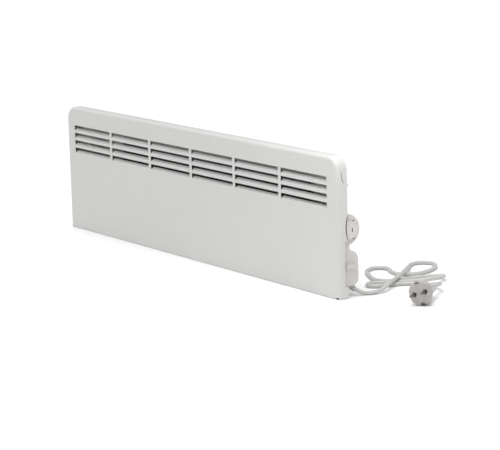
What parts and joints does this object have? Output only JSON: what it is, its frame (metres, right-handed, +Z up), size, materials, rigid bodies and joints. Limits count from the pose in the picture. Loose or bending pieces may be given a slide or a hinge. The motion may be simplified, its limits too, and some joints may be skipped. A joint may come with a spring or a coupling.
{
  "type": "wall panel convector heater",
  "caption": "Low wide white panel convector heater with louvred grille, end-mounted dial and rocker switch, wall brackets with locks, and a mains lead with plug.",
  "frame": {"origin": "under the middle of the heater, on the surface that it stands on; the mains lead and plug lie outside this box", "axes": "+X along the heater towards its control end, the front face looks to -Y and the wall is at +Y, +Z up"},
  "size_m": [0.9878, 0.2882, 0.235],
  "materials": {
    "white_enamel": "satin",
    "control_plastic": "satin moulded",
    "dial_plastic": "satin moulded",
    "switch_plastic": "semi-gloss",
    "zinc_steel": "zinc plated",
    "screw_steel": "zinc plated",
    "fin_aluminium": "extruded",
    "reflector_aluminium": "rolled sheet",
    "element_steel": "heat-darkened",
    "steatite": "fired ceramic, unglazed",
    "thermostat_resin": "moulded resin",
    "contact_brass": "stamped",
    "plated_brass": "nickel plated",
    "lead_sheath": "matte sheath",
    "plug_pvc": "moulded",
    "wire_insulation": "insulation",
    "black_rubber": "matte"
  },
  "bodies": {
    "heater": {"front_cover": "white_enamel", "rear_panel": "white_enamel", "control_box": "control_plastic", "control_box_lid": "control_plastic", "switch_body": "switch_plastic", "wall_bracket_left": "zinc_steel", "wall_bracket_right": "zinc_steel", "element_holder_left": "zinc_steel", "element_holder_right": "zinc_steel", "cutout_plate": "zinc_steel", "cover_screws": "screw_steel", "holder_screws": "screw_steel", "lid_screws": "screw_steel", "clamp_screws": "screw_steel", "box_screws": "screw_steel", "terminal_screws": "screw_steel", "heating_fins": "fin_aluminium", "heat_reflector": "reflector_aluminium", "heating_rod": "element_steel", "rod_studs": "element_steel", "rod_insulators": "steatite", "element_bushes": "steatite", "overheat_cutout": "steatite", "thermostat": "thermostat_resin", "terminal_block": "thermostat_resin", "cord_clamp": "thermostat_resin", "switch_spades": "contact_brass", "plug_pins": "plated_brass", "plug_earth_clips": "plated_brass", "cord_lead": "lead_sheath", "cord_hank": "lead_sheath", "cord_end": "lead_sheath", "strain_relief": "lead_sheath", "plug_body": "plug_pvc", "inner_wires": "wire_insulation", "rear_bumpers": "black_rubber", "wire_grommet": "black_rubber", "thumb_notch_edging": "black_rubber"},
    "dial": {"dial_knob": "dial_plastic", "thermostat_shaft": "screw_steel"},
    "rocker": {"switch_rocker": "switch_plastic"},
    "lock_left": {"bracket_lock_left": "zinc_steel"},
    "lock_right": {"bracket_lock_right": "zinc_steel"}
  },
  "joints": [
    {"name": "dial_turn", "type": "hinge", "parent": "heater", "child": "dial", "pos_m": [0.418, -0.017, 0.1123], "axis": [1, 0, 0], "range_deg": [-135, 135]},
    {"name": "rocker_tilt", "type": "hinge", "parent": "heater", "child": "rocker", "pos_m": [0.4156, -0.0115, 0.0514], "axis": [0, 0, 1], "range_deg": [0, 18]},
    {"name": "lock_left_turn", "type": "hinge", "parent": "heater", "child": "lock_left", "pos_m": [-0.2, 0.022, 0.172], "axis": [0, 0, 1], "range_deg": [0, 90]},
    {"name": "lock_right_turn", "type": "hinge", "parent": "heater", "child": "lock_right", "pos_m": [0.2, 0.022, 0.172], "axis": [0, 0, 1], "range_deg": [0, 90]}
  ]
}
